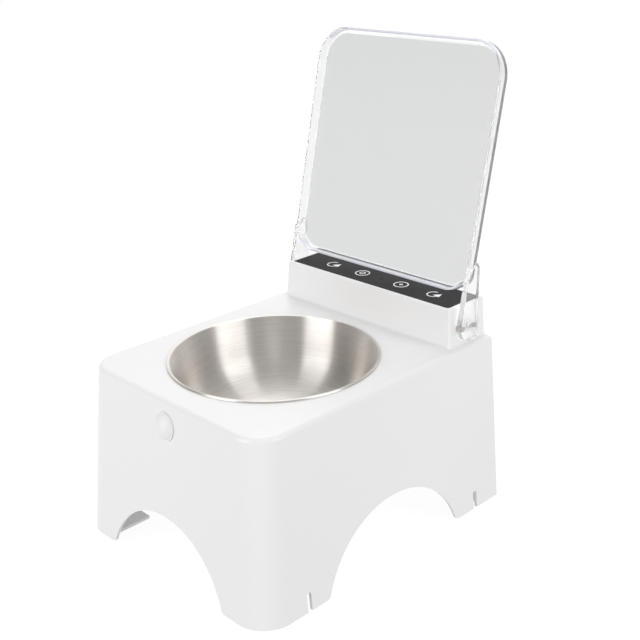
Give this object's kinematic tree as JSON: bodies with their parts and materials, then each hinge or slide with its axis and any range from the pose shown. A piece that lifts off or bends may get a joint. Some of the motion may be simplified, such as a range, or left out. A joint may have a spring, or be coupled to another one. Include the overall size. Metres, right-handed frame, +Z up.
{
  "type": "automatic pet feeder",
  "caption": "Raised pet feeder: arched white housing, lift-out steel bowl, clear motor-driven lid on two arms, touch panel and motion sensor.",
  "frame": {"origin": "on the floor, under the middle of the overall depth with the lid open, on the left-right symmetry plane", "axes": "+Z up, front towards -Y, +X to the right as seen from the front"},
  "size_m": [0.2198, 0.2818, 0.3663],
  "materials": {
    "shell_white": "semi-gloss moulded ABS",
    "well_white": "fine matte moulded ABS",
    "bowl_steel": "spun stainless steel, brushed round",
    "lid_clear": "clear polished plastic with a faint grey tint",
    "panel_black": "glossy dark charcoal",
    "icon_white": "printed white",
    "indicator_tint": "dark tinted window",
    "sensor_milky": "milky satin polyethylene",
    "pin_steel": "ground steel",
    "magnet_nickel": "nickel plate",
    "screw_steel": "zinc plated",
    "gear_nylon": "natural nylon",
    "brass": "machined",
    "gearbox_grey": "glass-filled nylon",
    "motor_steel": "plated steel can",
    "board_green": "solder-resist green",
    "chip_black": "moulded epoxy",
    "led_clear": "clear epoxy",
    "port_steel": "plated steel",
    "switch_black": "satin black",
    "flap_rubber": "white silicone",
    "pad_rubber": "dark grey silicone",
    "cell_wrap": "plain printed sleeve"
  },
  "bodies": {
    "housing": {"body_shell": "shell_white", "bottom_cover": "shell_white", "bowl_well": "well_white", "left_bush": "well_white", "right_bush": "well_white", "touch_panel": "panel_black", "touch_icons": "icon_white", "indicator_lens": "indicator_tint", "sensor_lens": "sensor_milky", "idler_axle": "pin_steel", "cover_screws": "screw_steel", "gearbox_screws": "screw_steel", "gearbox_cover_screws": "screw_steel", "board_screws": "screw_steel", "gearbox_case": "gearbox_grey", "gearbox_cover": "gearbox_grey", "motor": "motor_steel", "motor_gearhead": "motor_steel", "motion_sensor": "motor_steel", "touch_board": "board_green", "sensor_board": "board_green", "main_board": "board_green", "hall_board": "board_green", "board_chips": "chip_black", "buzzer": "chip_black", "status_led": "led_clear", "charging_socket": "port_steel", "switch_body": "port_steel", "battery_contacts": "port_steel", "foot_pads": "pad_rubber", "battery_cells": "cell_wrap"},
    "lid": {"lid_cover": "lid_clear", "hinge_pin": "pin_steel", "arm_screws": "screw_steel", "arm_magnet": "magnet_nickel", "drive_shaft": "pin_steel", "output_gear": "gear_nylon"},
    "bowl": {"food_bowl": "bowl_steel"},
    "idler": {"idler_gear": "gear_nylon"},
    "pinion": {"drive_pinion": "brass", "motor_shaft": "pin_steel"},
    "battery_door": {"battery_door": "shell_white"},
    "port_flap": {"port_cover": "flap_rubber"},
    "power_switch": {"switch_knob": "switch_black"}
  },
  "joints": [
    {"name": "lid_hinge", "type": "hinge", "parent": "housing", "child": "lid", "pos_m": [0, 0.09542, 0.1563], "axis": [-1, 0, 0], "range_deg": [-103.3, 0]},
    {"name": "idler_spin", "type": "hinge", "parent": "housing", "child": "idler", "pos_m": [-0.076, 0.09542, 0.1435], "axis": [-1, 0, 0], "range_deg": [-1, 175]},
    {"name": "pinion_spin", "type": "hinge", "parent": "housing", "child": "pinion", "pos_m": [-0.073, 0.09542, 0.1267], "axis": [-1, 0, 0], "range_deg": [-435, 1]},
    {"name": "bowl_lift", "type": "slide", "parent": "housing", "child": "bowl", "axis": [0, 0, 1], "range_m": [0, 0.06]},
    {"name": "battery_door_slide", "type": "slide", "parent": "housing", "child": "battery_door", "axis": [0, -1, 0], "range_m": [0, 0.02]},
    {"name": "port_flap_hinge", "type": "hinge", "parent": "housing", "child": "port_flap", "pos_m": [0.0466, 0.11857, 0.0833], "axis": [0, 0, 1], "range_deg": [0, 110]},
    {"name": "power_switch_slide", "type": "slide", "parent": "housing", "child": "power_switch", "axis": [1, 0, 0], "range_m": [0, 0.004]}
  ],
  "couplings": [
    {"joint": "idler_spin", "follows": "lid_hinge", "ratio": -1.6667},
    {"joint": "pinion_spin", "follows": "lid_hinge", "ratio": 4.1667}
  ]
}
